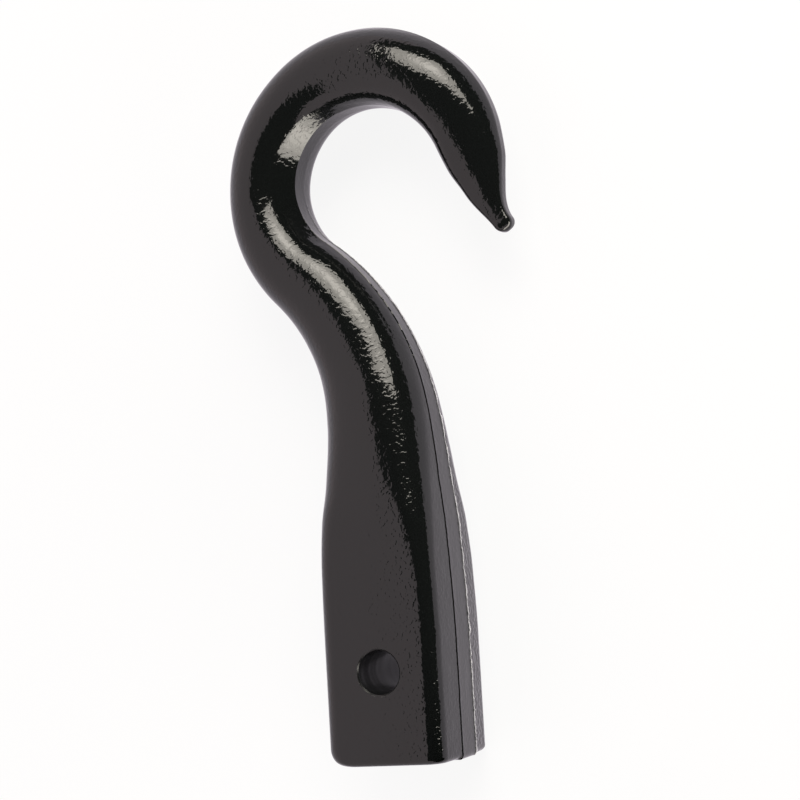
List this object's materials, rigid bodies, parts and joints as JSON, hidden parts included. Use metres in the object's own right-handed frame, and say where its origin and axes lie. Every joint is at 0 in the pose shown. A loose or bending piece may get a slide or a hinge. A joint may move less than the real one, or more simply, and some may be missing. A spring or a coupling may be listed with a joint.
{
  "type": "recovery tow hook",
  "caption": "Forged recovery tow hook: a square receiver shank with a cross hole for its pin, a curved neck and an open round hook.",
  "frame": {"origin": "on the pin hole's axis, on the forging's parting plane at mid thickness", "axes": "+Y along the shank towards the hook, +Z along the pin hole's axis out of the face that the picture shows, +X towards the side where the hook's point is"},
  "size_m": [0.1198, 0.2943, 0.0508],
  "materials": {
    "hook_paint": "gloss black paint over a fine forged texture"
  },
  "bodies": {
    "root": {"tow_hook": "hook_paint"}
  },
  "joints": []
}
